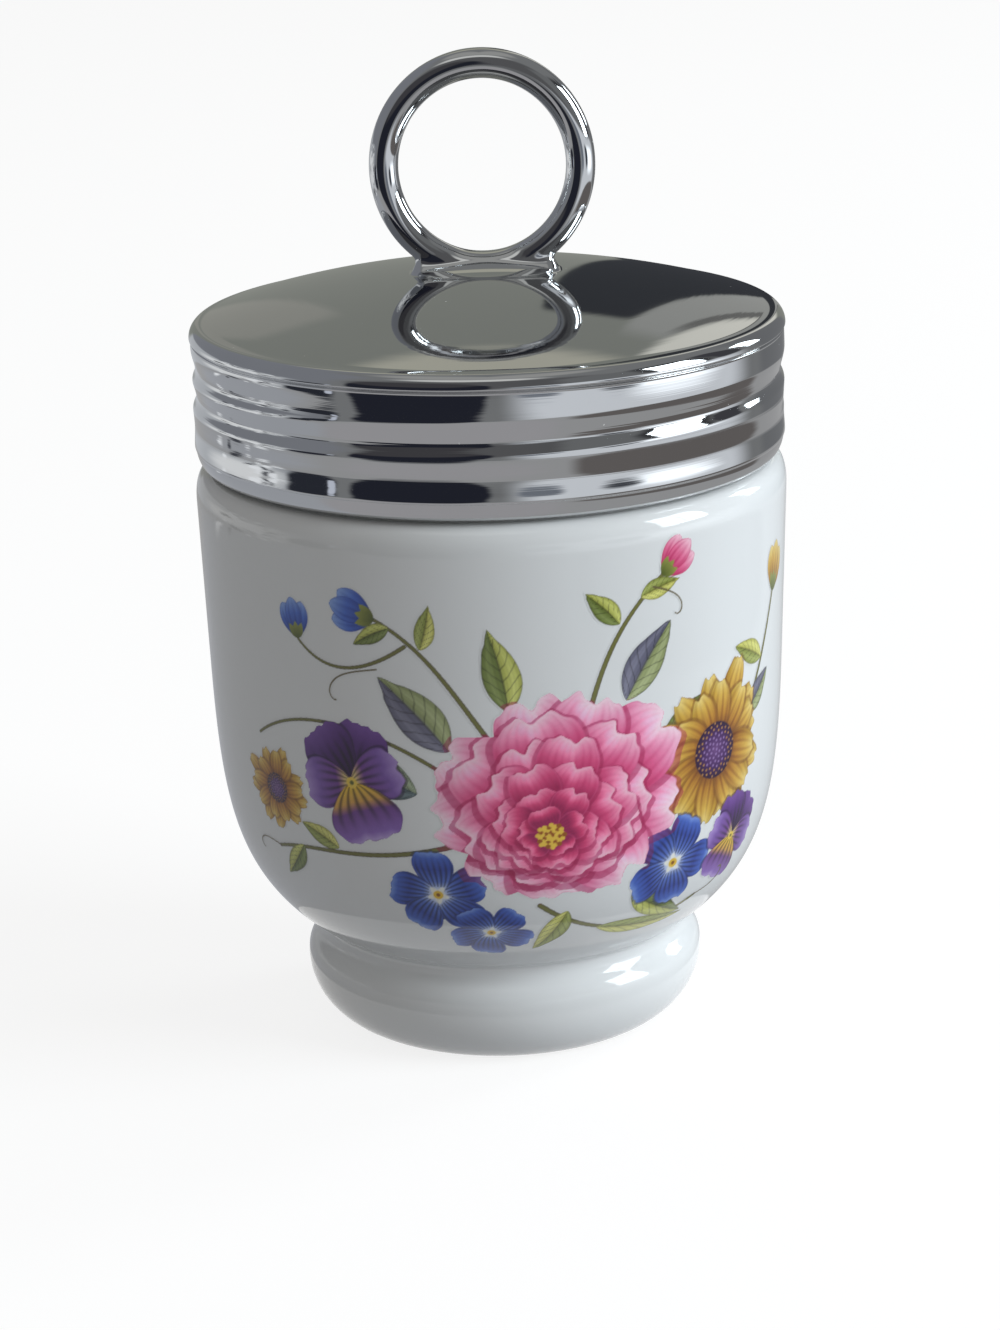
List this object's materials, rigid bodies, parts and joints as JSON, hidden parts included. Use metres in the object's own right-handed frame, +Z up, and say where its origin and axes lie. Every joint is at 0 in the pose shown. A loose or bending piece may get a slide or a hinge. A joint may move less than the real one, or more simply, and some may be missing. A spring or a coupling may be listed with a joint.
{
  "type": "egg coddler",
  "caption": "Footed porcelain egg coddler with a chrome-plated screw lid and a finger ring; it holds an egg while it cooks in hot water.",
  "frame": {"origin": "centre of the foot's standing ring, on the table", "axes": "+Z up along the axis of the cup and of the screw thread; the finger ring lies in the XZ plane, and -Y is the front"},
  "size_m": [0.06, 0.06, 0.1004],
  "materials": {
    "porcelain": "clear gloss glaze over white porcelain, with a printed flower spray",
    "plated_metal": "bright chrome plate",
    "washer": "matte pale rubber"
  },
  "bodies": {
    "cup": {"porcelain_cup": "porcelain"},
    "washer": {"sealing_washer": "washer"},
    "lid": {"lid_cap": "plated_metal", "finger_ring": "plated_metal", "ring_solder": "plated_metal"}
  },
  "joints": [
    {"name": "lid_lift", "type": "slide", "parent": "cup", "child": "washer", "axis": [0, 0, 1], "range_m": [0, 0.0126]},
    {"name": "lid_turn", "type": "hinge", "parent": "washer", "child": "lid", "pos_m": [0, 0, 0.066], "axis": [0, 0, 1], "range_deg": [0, 1620]}
  ],
  "couplings": [
    {"joint": "lid_lift", "follows": "lid_turn", "m_per_rad": 0.00044563}
  ]
}
